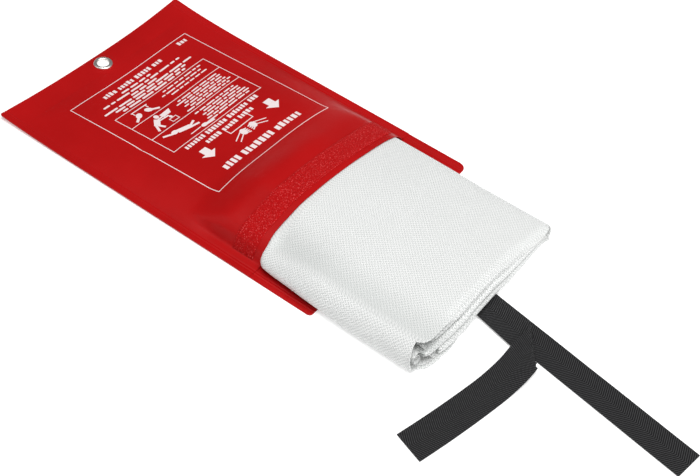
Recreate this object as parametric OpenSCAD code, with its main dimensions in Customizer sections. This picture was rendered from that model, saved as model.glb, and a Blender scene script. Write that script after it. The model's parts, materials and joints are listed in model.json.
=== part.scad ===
// Fire blanket in a soft plastic pouch, drawn part of the way out and lying on its back.
//
// The origin is on the axis of the hanging eyelet, at the surface that the pouch lies on.
// +Y points to the pouch's closed top edge, the mouth faces -Y, and +Z points out through
// the front sheet. The pouch is two sheets welded along three edges. The back sheet runs
// on past the mouth as a closing flap. The blanket is a folded packet with two pull tapes
// sewn under its outer end.

/* [Pouch] */
// Width of the pouch, edge to edge
pouch_w = 206; // [200:1:220]
// Length of the back sheet with its closing flap
back_len = 311; // [306:1:318]
// Length of the front sheet, from the top edge to the mouth
front_len = 252; // [248:1:256]
// Thickness of the plastic sheets
sheet_t = 0.5; // [0.3:0.1:0.6]
// Distance from a long edge to the inner side of its weld
weld_w = 7.5; // [5:0.5:9]
// Corner radius at the closed top edge
top_corner_r = 3; // [1:0.5:6]
// Corner radius at the end of the flap
flap_corner_r = 7; // [3:0.5:12]
// Height of the arched front sheet above the back sheet, at the mouth
arch_h = 27.5; // [27.5:0.5:32]

/* [Eyelet] */
// Distance from the top edge to the axis of the eyelet
eyelet_inset = 10; // [9.5:0.5:14]
// Radius of the eyelet's hole
eyelet_r = 4.8; // [4:0.1:5]
// Outer radius of the rolled rim
rim_r = 8.4; // [7.5:0.1:9]
// Height of the rolled rim above the front sheet
rim_h = 1.3; // [0.8:0.1:2]
// Thickness of the washer behind the back sheet
washer_t = 0.6; // [0.4:0.1:0.8]

/* [Hook and loop strips] */
// Width of both strips
strip_w = 19; // [15:0.5:20]
// Thickness of both strips
strip_t = 1.2; // [0.8:0.1:1.4]
// Distance from the mouth to the loop strip
loop_inset = 5; // [3:0.5:8]
// Distance from the flap's end to the hook strip
hook_inset = 5; // [3:0.5:8]

/* [Blanket] */
// Length of the folded packet
packet_len = 200; // [190:1:210]
// How far the packet stands out of the mouth
packet_out = 152; // [148:1:156]

/* [Pull tapes] */
// Width of the tape
tape_w = 25; // [20:1:26]
// Thickness of the tape
tape_t = 1.2; // [0.8:0.1:1.2]
// Free length of the lower tape
lower_tape_len = 172; // [140:1:220]
// Length of the upper tape from the packet to its fold, on its centre line
upper_root_len = 38; // [36:1:44]
// Length of the upper tape from its fold to its cut end
upper_end_len = 130; // [100:1:160]
// Length of tape sewn under the packet
sewn_len = 32; // [25:1:40]
// Angle between the tapes and the pouch's long edges
tape_angle = 9; // [5:1:12]

/* [Hidden] */

$fn = 64;

// The front sheet's arch: its ridge lies left of the middle, over the thick side of the packet
ridge_x = -40;
weld_x = pouch_w / 2 - weld_w;
arch_steps = 12;
arch_left = weld_x + ridge_x;
arch_right = weld_x - ridge_x;

// Heights, from the surface upwards. Both sheets rise in a dimple over the washer.
front_z = sheet_t;
dimple_r = rim_r + washer_t;
rim_z = washer_t + 2 * sheet_t;
packet_gap = 0.4;
packet_z = front_z + strip_t + packet_gap;
tape_gap = 0.3;
upper_tape_z = tape_t + tape_gap;
tapes_top_z = upper_tape_z + tape_t;
fold_z = tapes_top_z + tape_gap / 2;

// Places along Y
top_y = eyelet_inset;
flap_y = top_y - back_len;
mouth_y = top_y - front_len;
packet_outer_y = mouth_y - packet_out;
packet_inner_y = packet_outer_y + packet_len;
lip_y = flap_y - 3;

// The front sheet is flat round the eyelet, rises gently, then climbs over the packet
flat_y = -dimple_r - 1;
climb_end_y = packet_inner_y + 2;
climb_start_y = climb_end_y + 16;
gentle_share = 0.6;

// The line about which both tapes lift, just off the packet, on the lower tape's centre line
tape_root = [-13.7, packet_outer_y - 5.5];
upper_offset = -3;
packet_sides = [3, 12.5];
packet_top_gap = 0.9;

// How high the arch stands at step i of its width, as a share of its full height.
// Step 0 is the ridge, and steps -arch_steps and arch_steps are the welds.
function arch_share(i) = i < 0
    ? pow(max(0, 1 - pow(arch_sine(i), 3)), 0.5)
    : pow(max(0, 1 - pow(arch_sine(i), 2)), 0.625);
function arch_sine(i) = sin(90 * abs(i) / arch_steps);

// A point of the arch's inner face at full height, drawn in by side gaps and a top gap
function arch_point(i, gaps, top_gap) = [
    ridge_x + (i < 0 ? -(arch_left - gaps[0]) : arch_right - gaps[1]) * arch_sine(i),
    front_z + (arch_h - top_gap) * arch_share(i)
];

// How far the front sheet has risen at y, as a share of its height at the mouth
function rise(y) = y > climb_start_y
    ? gentle_share * (flat_y - y) / (flat_y - climb_start_y)
    : y > climb_end_y ? gentle_share + (1 - gentle_share) * ease(y) : 1;
function ease(y) = 0.5 - 0.5 * cos(180 * (climb_start_y - y) / (climb_start_y - climb_end_y));

// A row of the front sheet's points across the pouch at y, on its inner or its outer face
function sheet_row(y, thick) = concat(
    [[-pouch_w / 2, y, front_z + thick]],
    [for (i = [-arch_steps:arch_steps]) let (p = arch_point(i, [0, 0], 0)) [
        p[0] + sign(i) * thick * arch_sine(i),
        y,
        front_z + thick + (p[1] - front_z) * rise(y)]],
    [[pouch_w / 2, y, front_z + thick]]);

// The closed solid between two grids of points that match row by row
module between_grids(lower, upper) {
    rows = len(lower);
    cols = len(lower[0]);
    function at(side, row, col) = (side * rows + row) * cols + col;
    lower_faces = [for (r = [0:rows - 2], c = [0:cols - 2], half = [0, 1])
        half == 0
            ? [at(0, r, c), at(0, r, c + 1), at(0, r + 1, c + 1)]
            : [at(0, r, c), at(0, r + 1, c + 1), at(0, r + 1, c)]];
    upper_faces = [for (r = [0:rows - 2], c = [0:cols - 2], half = [0, 1])
        half == 0
            ? [at(1, r, c), at(1, r + 1, c + 1), at(1, r, c + 1)]
            : [at(1, r, c), at(1, r + 1, c), at(1, r + 1, c + 1)]];
    near_faces = [for (c = [0:cols - 2])
        [at(0, 0, c), at(1, 0, c), at(1, 0, c + 1), at(0, 0, c + 1)]];
    far_faces = [for (c = [0:cols - 2])
        [at(0, rows - 1, c), at(0, rows - 1, c + 1), at(1, rows - 1, c + 1), at(1, rows - 1, c)]];
    left_faces = [for (r = [0:rows - 2])
        [at(0, r + 1, 0), at(1, r + 1, 0), at(1, r, 0), at(0, r, 0)]];
    right_faces = [for (r = [0:rows - 2])
        [at(0, r, cols - 1), at(1, r, cols - 1), at(1, r + 1, cols - 1), at(0, r + 1, cols - 1)]];
    polyhedron(
        points = [for (grid = [lower, upper], row = grid, p = row) p],
        faces = concat(lower_faces, upper_faces, near_faces, far_faces, left_faces, right_faces));
}

// A rectangle from y0 to y1 across the pouch, with its own corner radius at each end
module rounded_sheet(y0, y1, r0, r1) {
    half = pouch_w / 2;
    difference() {
        translate([-half, y0]) square([pouch_w, y1 - y0]);
        for (side = [-1, 1]) {
            if (r0 > 0) corner_waste([side * half, y0], [-side, 1], r0);
            if (r1 > 0) corner_waste([side * half, y1], [-side, -1], r1);
        }
    }
}

// What rounding takes off a square corner; inwards says which way the sheet lies
module corner_waste(corner, inwards, r) {
    centre = corner + inwards * r;
    difference() {
        translate(corner - [r, r]) square(2 * r);
        translate(centre) circle(r);
        translate(centre + [inwards[0] > 0 ? 0 : -3 * r, -3 * r]) square([3 * r, 6 * r]);
        translate(centre + [-3 * r, inwards[1] > 0 ? 0 : -3 * r]) square([6 * r, 3 * r]);
    }
}

// Puts a drawing made in X and Z between y0 and y1
module along_pouch(y0, y1) {
    translate([0, y1, 0]) rotate([90, 0, 0]) linear_extrude(y1 - y0) children();
}

// Local -Y points outwards along the tapes, from the line where they leave the packet
module at_tape_root() {
    translate(tape_root) rotate(-tape_angle) children();
}

// A sheet with the dimple that the washer presses into it, and the hole for the barrel
module dimpled() {
    linear_extrude(sheet_t) difference() {
        children();
        circle(dimple_r);
    }
    rotate_extrude() polygon([
        [barrel_r, washer_t], [dimple_r - washer_t, washer_t], [dimple_r, 0],
        [dimple_r, sheet_t], [dimple_r - washer_t, washer_t + sheet_t],
        [barrel_r, washer_t + sheet_t]]);
}

module pouch_back_sheet() {
    color("firebrick") dimpled() rounded_sheet(flap_y, top_y, flap_corner_r, top_corner_r);
}

module pouch_front_sheet() {
    gentle_rows = 6;
    climb_rows = 6;
    rows = concat(
        [mouth_y],
        [for (k = [0:climb_rows]) climb_end_y + (climb_start_y - climb_end_y) * k / climb_rows],
        [for (k = [1:gentle_rows]) climb_start_y + (flat_y - climb_start_y) * k / gentle_rows]);
    color("red") {
        between_grids([for (y = rows) sheet_row(y, 0)], [for (y = rows) sheet_row(y, sheet_t)]);
        translate([0, 0, front_z]) dimpled() rounded_sheet(flat_y, top_y, 0, top_corner_r);
    }
}

// The loop strip covers the arch's outer face over three quarters of the steps on each side
module loop_strip() {
    last = 9;
    y1 = mouth_y + loop_inset + strip_w;
    function face(i, lift) = arch_point(i, [0, 0], 0) + lift * [sign(i) * arch_sine(i), 1];
    color("crimson") along_pouch(y1 - strip_w, y1) polygon(concat(
        [for (i = [-last:last]) face(i, sheet_t)],
        [for (i = [last:-1:-last]) face(i, sheet_t + strip_t)]));
}

module hook_strip() {
    x0 = -88;
    x1 = 82;
    color("darkred") translate([x0, flap_y + hook_inset, front_z])
        cube([x1 - x0, strip_w, strip_t]);
}

barrel_t = 0.5;
barrel_r = eyelet_r + barrel_t;
flare = 0.9;

// The barrel flares into the washer at the back and rolls over into the rim in front
module eyelet() {
    rim_mid = (eyelet_r + rim_r) / 2;
    rim_half = (rim_r - eyelet_r) / 2;
    rim_arc = [for (a = [0:15:180]) [rim_mid + rim_half * cos(a), rim_z + rim_h * sin(a)]];
    color("silver") rotate_extrude() polygon(concat(
        [[eyelet_r, 0], [barrel_r + flare, 0], [barrel_r, washer_t], [barrel_r, rim_z]],
        rim_arc));
}

module eyelet_washer() {
    washer_r = rim_r - 0.2;
    color("silver") rotate_extrude() polygon([
        [barrel_r + flare, 0], [washer_r, 0], [washer_r, washer_t], [barrel_r, washer_t]]);
}

// Past the flap, the packet's underside reaches down to the surface. A channel in it
// takes the sewn ends of the tapes.
module folded_blanket() {
    channel = [tape_w - upper_offset + 2, sewn_len + 8, tapes_top_z + tape_gap];
    lip_x0 = -86;
    lip_x1 = 76;
    color("whitesmoke") difference() {
        union() {
            along_pouch(packet_outer_y, packet_inner_y) difference() {
                polygon([for (i = [-arch_steps:arch_steps])
                    arch_point(i, packet_sides, packet_top_gap)]);
                translate([-pouch_w / 2, 0]) square([pouch_w, packet_z]);
            }
            translate([lip_x0, packet_outer_y, 0])
                cube([lip_x1 - lip_x0, lip_y - packet_outer_y, packet_z + 1]);
        }
        at_tape_root() translate([upper_offset - tape_w / 2 - 1, 0, -1])
            cube(channel + [0, 0, 1]);
    }
}

// Both sewn ends stop short of the line about which the free tapes lift
module sewn_end(offset, z) {
    back = 2.4;
    color("dimgray") at_tape_root() translate([offset - tape_w / 2, back, z])
        cube([tape_w, sewn_len, tape_t]);
}

module lower_tape_sewn_end() {
    sewn_end(0, 0);
}

module upper_tape_sewn_end() {
    sewn_end(upper_offset, upper_tape_z);
}

// A box of thread with a cross in it, on top of the upper tape's sewn end
module tape_stitching() {
    thread = 0.6;
    thread_h = 0.2;
    side = 18;
    middle = [upper_offset, 2.4 + sewn_len / 2, tapes_top_z];
    color("gray") at_tape_root() translate(middle) {
        for (turn = [0:90:270]) rotate(turn) translate([-side / 2, -side / 2, 0])
            cube([side, thread, thread_h]);
        for (turn = [45, 135]) rotate(turn)
            translate([-side / 2 * sqrt(2) + thread, -thread / 2, 0])
                cube([side * sqrt(2) - 2 * thread, thread, thread_h]);
    }
}

module lower_pull_tape() {
    color("black") at_tape_root() translate([-tape_w / 2, -lower_tape_len, 0])
        cube([tape_w, lower_tape_len, tape_t]);
}

// Everything on the packet's side of the upper tape's fold, which lies at 45 degrees
module before_fold(z0, z1) {
    reach = 300;
    translate([upper_offset, -upper_root_len, z0]) rotate(45) translate([-reach / 2, 0, 0])
        cube([reach, reach, z1 - z0]);
}

module upper_pull_tape_root() {
    far = upper_root_len + tape_w;
    color("black") at_tape_root() intersection() {
        translate([upper_offset - tape_w / 2, -far, upper_tape_z]) cube([tape_w, far, tape_t]);
        before_fold(0, tapes_top_z + 1);
    }
}

// The folded-over run crosses both tapes, then drops on to the surface
module upper_pull_tape_end() {
    top_z = tapes_top_z + tape_gap;
    drop_x0 = upper_offset - tape_w / 2 - 3;
    drop_x1 = drop_x0 - 22;
    end_x = upper_offset - upper_end_len;
    near_x = upper_offset + tape_w / 2 + 1;
    under = [[near_x, top_z], [drop_x0, top_z], [drop_x1, 0], [end_x, 0]];
    over = [for (k = [3:-1:0]) under[k] + [0, tape_t]];
    color("black") at_tape_root() intersection() {
        along_pouch(-upper_root_len - tape_w / 2, -upper_root_len + tape_w / 2)
            polygon(concat(under, over));
        before_fold(-1, top_z + tape_t + 1);
    }
}

pouch_back_sheet();
pouch_front_sheet();
loop_strip();
hook_strip();
eyelet();
eyelet_washer();
folded_blanket();
lower_tape_sewn_end();
upper_tape_sewn_end();
tape_stitching();
lower_pull_tape();
upper_pull_tape_root();
upper_pull_tape_end();
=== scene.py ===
import json
import math

import bmesh
import bpy
import numpy as np
from mathutils import Matrix, Vector


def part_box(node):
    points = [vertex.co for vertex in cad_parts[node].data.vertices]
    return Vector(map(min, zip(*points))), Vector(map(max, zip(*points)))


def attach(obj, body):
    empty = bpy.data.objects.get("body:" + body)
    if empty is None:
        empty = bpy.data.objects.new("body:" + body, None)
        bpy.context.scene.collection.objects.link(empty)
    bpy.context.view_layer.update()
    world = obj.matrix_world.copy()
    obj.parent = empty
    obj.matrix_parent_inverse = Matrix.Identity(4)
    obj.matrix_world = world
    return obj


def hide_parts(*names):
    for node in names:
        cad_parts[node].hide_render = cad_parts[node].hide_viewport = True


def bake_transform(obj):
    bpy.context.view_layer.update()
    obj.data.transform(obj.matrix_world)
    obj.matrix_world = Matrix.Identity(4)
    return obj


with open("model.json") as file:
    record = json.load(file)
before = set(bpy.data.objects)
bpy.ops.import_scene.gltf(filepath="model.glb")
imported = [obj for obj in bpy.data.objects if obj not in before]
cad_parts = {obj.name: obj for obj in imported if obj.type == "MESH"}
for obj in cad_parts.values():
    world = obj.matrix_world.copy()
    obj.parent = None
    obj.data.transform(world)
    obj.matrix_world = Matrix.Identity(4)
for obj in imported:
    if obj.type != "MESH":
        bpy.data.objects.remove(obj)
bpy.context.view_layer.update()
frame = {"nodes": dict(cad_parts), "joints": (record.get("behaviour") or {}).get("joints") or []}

MM = 0.001

# ---- shared sizes, in mm

JOINTS = {joint["name"]: joint for joint in frame["joints"]}


def node_box(name):
    """A CAD node's two box corners in mm."""
    low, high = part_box(name)
    return np.array(low) / MM, np.array(high) / MM


# The eyelet's centre is at x = y = 0, +Y runs to the pouch's top edge and z = 0 is the surface.
BACK_LOW, BACK_HIGH = node_box("pouch_back_sheet")
LOOP_LOW, LOOP_HIGH = node_box("loop_strip")
HOOK_LOW, HOOK_HIGH = node_box("hook_strip")
MOUTH_Y = node_box("pouch_front_sheet")[0][1]
INNER_Y = node_box("folded_blanket")[1][1]
RIM_R, _, RIM_TOP_Z = node_box("eyelet")[1]

HALF_W = BACK_HIGH[0]
TOP_MARGIN = 2.0
TOP_Y = BACK_HIGH[1] + TOP_MARGIN
FLAP_Y = BACK_LOW[1]
SHEET_T = 0.5
WELD_X = 95.5
HOLE_R = 5.3
BORE_R = 4.8
WASHER_T = 0.6
SHARP_ANGLE = math.radians(50)


# ---- small helpers

def smooth_step(t):
    """Rises from 0 to 1 as t does, level at both ends."""
    t = np.clip(t, 0.0, 1.0)
    return t * t * (3 - 2 * t)


def through(points, x):
    """A smooth curve through a few (x, value) points, with no overshoot."""
    px, pv = (np.array(c, float) for c in zip(*points))
    slope = np.diff(pv) / np.diff(px)
    tangent = np.zeros_like(pv)
    same = slope[:-1] * slope[1:] > 0
    tangent[1:-1][same] = 2 * (slope[:-1] * slope[1:])[same] / (slope[:-1] + slope[1:])[same]
    tangent[0], tangent[-1] = slope[0], slope[-1]
    x = np.clip(x, px[0], px[-1])
    k = np.clip(np.searchsorted(px, x) - 1, 0, len(px) - 2)
    h = px[k + 1] - px[k]
    t = (x - px[k]) / h
    return ((2 * t**3 - 3 * t**2 + 1) * pv[k] + (t**3 - 2 * t**2 + t) * h * tangent[k]
            + (3 * t**2 - 2 * t**3) * pv[k + 1] + (t**3 - t**2) * h * tangent[k + 1])


def unit(vectors):
    """The same directions, each one long."""
    return vectors / np.maximum(np.linalg.norm(vectors, axis=-1, keepdims=True), 1e-9)


def run_length(line):
    """How far along a line each of its points lies."""
    return np.concatenate([[0], np.cumsum(np.linalg.norm(np.diff(line, axis=0), axis=1))])


def ripple(x, y, size, seed):
    """Soft seeded unevenness between about -1 and 1, in waves of about the given size."""
    rng = np.random.default_rng(seed)
    total = 0.0
    for _ in range(7):
        angle, phase = rng.uniform(0, 2 * math.pi, 2)
        wave = 2 * math.pi / (size * rng.uniform(0.7, 1.5))
        total = total + np.sin(wave * (x * math.cos(angle) + y * math.sin(angle)) + phase)
    return total / 4.0


def grid_faces(rows, cols):
    """The quads of a grid of points that is stored row by row."""
    starts = [r * cols + c for r in range(rows - 1) for c in range(cols - 1)]
    return [(a, a + 1, a + cols + 1, a + cols) for a in starts]


def new_object(name, data):
    """An object with its data, in the scene."""
    item = bpy.data.objects.new(name, data)
    bpy.context.collection.objects.link(item)
    return item


def make_piece(name, points, faces, material, body):
    """A mesh piece from points in mm. It rides on a CAD body, or is left unattached where body is None."""
    mesh = bpy.data.meshes.new(name)
    mesh.from_pydata((np.array(points, float) * MM).tolist(), [], faces)
    mesh.validate()
    piece = new_object(name, mesh)
    mesh.materials.append(material)
    mesh.polygons.foreach_set("use_smooth", [True] * len(mesh.polygons))
    mesh.set_sharp_from_angle(angle=SHARP_ANGLE)
    if body:
        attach(piece, body)
    return piece


def flat_place(across, along):
    """Each point's place on the flat cloth, in metres, for both faces of a grid."""
    across, along = np.broadcast_arrays(across * MM, along * MM)
    place = np.dstack([across, along, np.zeros(across.shape)])
    return np.concatenate([place.reshape(-1, 3)] * 2)


def add_coordinates(piece, name, values):
    """Stores each point's place on the flat cloth, for the material to follow."""
    attribute = piece.data.attributes.new(name, "FLOAT_VECTOR", "POINT")
    attribute.data.foreach_set("vector", np.array(values, np.float32).ravel())


def closed_faces(cells, n):
    """Faces of the closed solid between a layer of cells, seen from above, and its copy n points on."""
    edges = [edge for face in cells for edge in zip(face, face[1:] + face[:1])]
    inner = set(edges)
    faces = [face[::-1] for face in cells] + [tuple(v + n for v in face) for face in cells]
    return faces + [(a, b, n + b, n + a) for a, b in edges if (b, a) not in inner]


def solid_between(lower, upper, keep=None):
    """Points and faces of the closed solid between two grids, open where cells are left out."""
    rows, cols = lower.shape[:2]
    points = np.concatenate([lower.reshape(-1, 3), upper.reshape(-1, 3)])
    cells = grid_faces(rows, cols)
    if keep is not None:
        cells = [face for face, kept in zip(cells, keep.ravel()) if kept]
    faces = closed_faces(cells, rows * cols)
    used = sorted({v for face in faces for v in face})
    place = {v: k for k, v in enumerate(used)}
    return points[used], [tuple(place[v] for v in face) for face in faces]


def spread(start, end, step):
    """Even stations from start to end, about a step apart."""
    return np.linspace(start, end, max(2, int(round(abs(end - start) / step)) + 1))


# ---- materials, in metres

YARN_PITCH = 0.00073
WEB_RIB_PITCH = 0.0016
WEB_THREAD_PITCH = 0.00085


class Nodes:
    """A short way to write a node tree, whose patterns follow the object or a stored attribute."""

    def __init__(self, name, attribute=None):
        self.material = bpy.data.materials.new(name)
        self.material.use_nodes = True
        self.tree = self.material.node_tree
        self.shader = self.tree.nodes["Principled BSDF"]
        if attribute:
            self.where = self.add("Attribute", attribute_name=attribute).outputs["Vector"]
        else:
            self.where = self.add("TexCoord").outputs["Object"]

    def add(self, kind, inputs=None, **settings):
        node = self.tree.nodes.new("ShaderNode" + kind)
        for key, value in settings.items():
            setattr(node, key, value)
        for key, value in (inputs or {}).items():
            self.put(node.inputs[key], value)
        return node

    def put(self, socket, value):
        if isinstance(value, bpy.types.NodeSocket):
            self.tree.links.new(value, socket)
        else:
            socket.default_value = value

    def math(self, operation, *values, clamp=False):
        inputs = dict(enumerate(values))
        return self.add("Math", inputs, operation=operation, use_clamp=clamp).outputs[0]

    def set(self, **inputs):
        """Sets or links the shader's inputs, with _ for each space in their names."""
        for key, value in inputs.items():
            self.put(self.shader.inputs[key.replace("_", " ")], value)

    def mix(self, factor, a, b):
        return self.add("Mix", {"Factor": factor, 6: a, 7: b}, data_type="RGBA").outputs[2]

    def noise(self, scale, detail=2.0, rough=0.5):
        return self.add("TexNoise", {"Vector": self.where, "Scale": scale, "Detail": detail,
                                     "Roughness": rough}).outputs["Fac"]

    def ramp(self, value, low, high):
        return self.add("MapRange", {"Value": value, "From Min": low, "From Max": high},
                        interpolation_type="SMOOTHSTEP").outputs[0]

    def bump(self, height, distance, strength=1.0, **normal):
        inputs = {"Height": height, "Distance": distance, "Strength": strength, **normal}
        return self.add("Bump", inputs).outputs[0]


def film_material():
    n = Nodes("soft_pvc_film")
    broad = n.noise(14, 3)
    fine = n.noise(900, 2)
    pebble = n.noise(260, 3)
    n.set(Base_Color=n.mix(n.ramp(broad, 0.3, 0.7), (0.385, 0.0037, 0.0040, 1), (0.44, 0.0046, 0.0052, 1)),
          Roughness=n.math("MULTIPLY_ADD", pebble, 0.12, 0.33),
          Normal=n.bump(fine, 0.00003, 0.5, Normal=n.bump(pebble, 0.0001, 0.6)),
          IOR=1.5, Specular_IOR_Level=0.13)
    return n.material


def loop_material():
    n = Nodes("brushed_loop_fabric")
    tuft = n.add("TexVoronoi", {"Vector": n.where, "Scale": 1500.0}).outputs["Distance"]
    clump = n.noise(900, 2, 0.6)
    # Painted highlight: sparse lighter flecks on the pile stand in for glints of light on it.
    glint_fleck = n.ramp(n.noise(1250, 1, 0.5), 0.60, 0.70)
    height = n.math("MULTIPLY_ADD", clump, 0.8, n.math("SUBTRACT", 1.0, tuft))
    base = n.mix(n.ramp(clump, 0.3, 0.7), (0.35, 0.0030, 0.0036, 1), (0.46, 0.0050, 0.0060, 1))
    n.set(Base_Color=n.mix(n.math("MULTIPLY", glint_fleck, 0.75), base, (0.80, 0.10, 0.10, 1)),
          Roughness=0.9, Normal=n.bump(height, 0.0002, 0.5),
          Sheen_Weight=0.03, Sheen_Roughness=0.5, Specular_IOR_Level=0.08)
    return n.material


def hook_material():
    n = Nodes("moulded_hook_fabric")
    pin = n.add("TexVoronoi", {"Vector": n.where, "Scale": 750.0, "Randomness": 0.25}).outputs["Distance"]
    head = n.ramp(pin, 0.42, 0.12)
    n.set(Base_Color=n.mix(head, (0.27, 0.003, 0.004, 1), (0.58, 0.009, 0.010, 1)),
          Roughness=0.55, Normal=n.bump(head, 0.0007, 0.9), Specular_IOR_Level=0.25)
    return n.material


def ink_material():
    n = Nodes("white_print")
    worn = n.ramp(n.noise(700, 3, 0.7), 0.22, 0.42)
    n.set(Base_Color=n.mix(worn, (0.78, 0.42, 0.42, 1), (0.84, 0.74, 0.74, 1)),
          Roughness=n.math("MULTIPLY_ADD", n.noise(260, 3), 0.18, 0.36))
    return n.material


def nickel_material():
    n = Nodes("nickel_plate")
    brushed = n.noise(1800, 2)
    n.set(Base_Color=n.mix(n.noise(300, 3), (0.74, 0.72, 0.69, 1), (0.90, 0.88, 0.85, 1)),
          Roughness=n.math("MULTIPLY_ADD", brushed, 0.14, 0.30), Metallic=1.0,
          Normal=n.bump(brushed, 0.00002, 0.4))
    return n.material


def cloth_material():
    """Four-shaft satin of glass yarn: each yarn floats over three, and dips under the fourth."""
    n = Nodes("woven_glass_cloth", "cloth_place")
    axis = n.add("SeparateXYZ", {"Vector": n.where})
    across = n.math("DIVIDE", axis.outputs[0], YARN_PITCH)
    along = n.math("DIVIDE", axis.outputs[1], YARN_PITCH)
    end = n.math("FLOORED_MODULO", n.math("FLOOR", across), 4.0)
    third = n.math("GREATER_THAN", end, 1.5)
    fourth = n.math("GREATER_THAN", end, 2.5)
    shift = n.math("ADD", end, n.math("SUBTRACT", third, n.math("MULTIPLY", fourth, 2.0)))
    from_dip = n.math("PINGPONG", n.math("SUBTRACT", n.math("SUBTRACT", along, shift), 0.5), 2.0)
    in_yarn = n.math("PINGPONG", across, 0.5)
    floats = n.math("MULTIPLY", n.ramp(from_dip, 0.2, 1.1), n.ramp(in_yarn, -0.05, 0.34))
    fibre = n.noise(2600, 2)
    soil = n.noise(9, 3)
    # Painted shade: along the valley beside the packet's left side the cloth is coloured a darker grey, which
    # stands in for the shade that falls there.
    painted_hollow_shade = n.add("Attribute", attribute_name="cloth_painted_shade").outputs["Fac"]
    height = n.math("MULTIPLY_ADD", fibre, 0.2, floats)
    gap = n.math("SUBTRACT", 1.0, floats)
    unshaded_tone = n.mix(soil, (0.95, 0.955, 0.945, 1), (0.985, 0.985, 0.98, 1))
    base = n.mix(painted_hollow_shade, unshaded_tone, (0.80, 0.81, 0.80, 1))
    n.set(Base_Color=n.mix(n.math("MULTIPLY", gap, 0.66), base, (0.34, 0.37, 0.355, 1)),
          Roughness=n.math("MULTIPLY_ADD", gap, 0.2, 0.5), Normal=n.bump(height, 0.00025, 0.7),
          Sheen_Weight=0.15, Specular_IOR_Level=0.35)
    return n.material


def webbing_material():
    """Herringbone webbing: slanted rows of short floats, mirrored at the middle of the tape."""
    n = Nodes("black_webbing", "tape_place")
    axis = n.add("SeparateXYZ", {"Vector": n.where})
    across, along = axis.outputs[0], axis.outputs[1]
    column = n.math("DIVIDE", n.math("ABSOLUTE", across), WEB_THREAD_PITCH)
    slant = n.math("MULTIPLY", n.math("FLOOR", column), 0.25)
    rib = n.math("ADD", n.math("DIVIDE", along, WEB_RIB_PITCH), slant)
    float_height = n.ramp(n.math("PINGPONG", rib, 0.5), 0.08, 0.36)
    thread = n.ramp(n.math("PINGPONG", column, 0.5), 0.02, 0.35)
    height = n.math("MULTIPLY", n.math("MULTIPLY_ADD", thread, 0.6, 0.4), float_height)
    # Painted highlight: the raised floats' tops and the fuzz spots are coloured lighter, partly the ribs' own
    # pattern and partly standing in for glints of light on the threads.
    fuzz_and_glint = n.noise(2200, 2)
    rib_tone_and_glint = n.math("MULTIPLY", n.math("POWER", height, 2.6), n.math("MULTIPLY_ADD", fuzz_and_glint, 1.6, 0.3))
    n.set(Base_Color=n.mix(n.math("MULTIPLY", rib_tone_and_glint, 0.9, clamp=True), (0.0012, 0.0012, 0.0015, 1),
                           (0.072, 0.072, 0.075, 1)),
          Roughness=0.6, Normal=n.bump(height, 0.0004, 1.0), Sheen_Weight=0.03, Specular_IOR_Level=0.2)
    return n.material


def thread_material():
    n = Nodes("black_thread")
    twist = n.add("TexWave", {"Vector": n.where, "Scale": 900.0}).outputs["Fac"]
    n.set(Base_Color=n.mix(twist, (0.012, 0.012, 0.013, 1), (0.05, 0.05, 0.055, 1)), Roughness=0.6,
          Normal=n.bump(twist, 0.0001, 0.8))
    return n.material


FILM = film_material()
LOOP = loop_material()
HOOK = hook_material()
INK = ink_material()
NICKEL = nickel_material()
CLOTH = cloth_material()
WEBBING = webbing_material()
THREAD = thread_material()


# ---- the pouch's shape, in mm

# The front sheet's outer face at the mouth, as height over x
MOUTH_ARCH = [(-95.5, 1.0), (-90, 1.6), (-88, 4.5), (-84.8, 12), (-79, 17.8), (-69, 21.5), (-56, 24.5),
              (-38, 27.6), (-13, 27.2), (15, 24.9), (47, 19.4), (70, 14.7), (81, 11.6), (88, 7), (92.5, 2.4),
              (95.5, 1.0)]
# The front sheet rises gently from under the eyelet, then climbs to the arch
BULGE_START_Y = -9.0
BULGE_LENGTH = 171.0
GENTLE_H = 16.0
CLIMB_START_Y = -170.0
CLIMB_END_Y = -208.0
DENT_H = 0.28
CREASE_H = 0.7
CREASE_X, CREASE_Y = -62.0, -102.0

# How far the corners and long edges lift off the surface
LEFT_CORNER_H = 4.0
RIGHT_CORNER_H = 7.0
CORNER_REACH = 42.0
EDGE_H = 1.0
EDGE_REACH = 300.0

GROOVE_H = 0.28
GROOVE_W = 0.55
GROOVE_LINES = (WELD_X + 0.6, WELD_X + 3.0)

# The grid leaves out a square round the eyelet, and eases from a round hole back to its own lines
HOLE_SQUARE = 3.0
HOLE_EASE = 9.0

FLAP_LEFT_R = 3.0
FLAP_RIGHT_R = 7.0
TOP_CORNER_R = 1.8


def curl(x, y):
    """How far both sheets lift off the surface along their long edges and at the top corners."""
    side = (np.abs(x) / HALF_W) ** 2.4
    from_top = TOP_Y - y
    corner = np.where(x > 0, RIGHT_CORNER_H, LEFT_CORNER_H) * np.exp(-from_top / CORNER_REACH)
    middle = EDGE_H * np.sin(math.pi * np.clip(from_top / EDGE_REACH, 0, 1))
    return side * (corner + middle)


def dimple(x, y):
    """The sheets stand on the eyelet's washer, and settle to the surface round it."""
    return WASHER_T * smooth_step((TOP_Y - np.hypot(x, y)) / 1.6)


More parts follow.
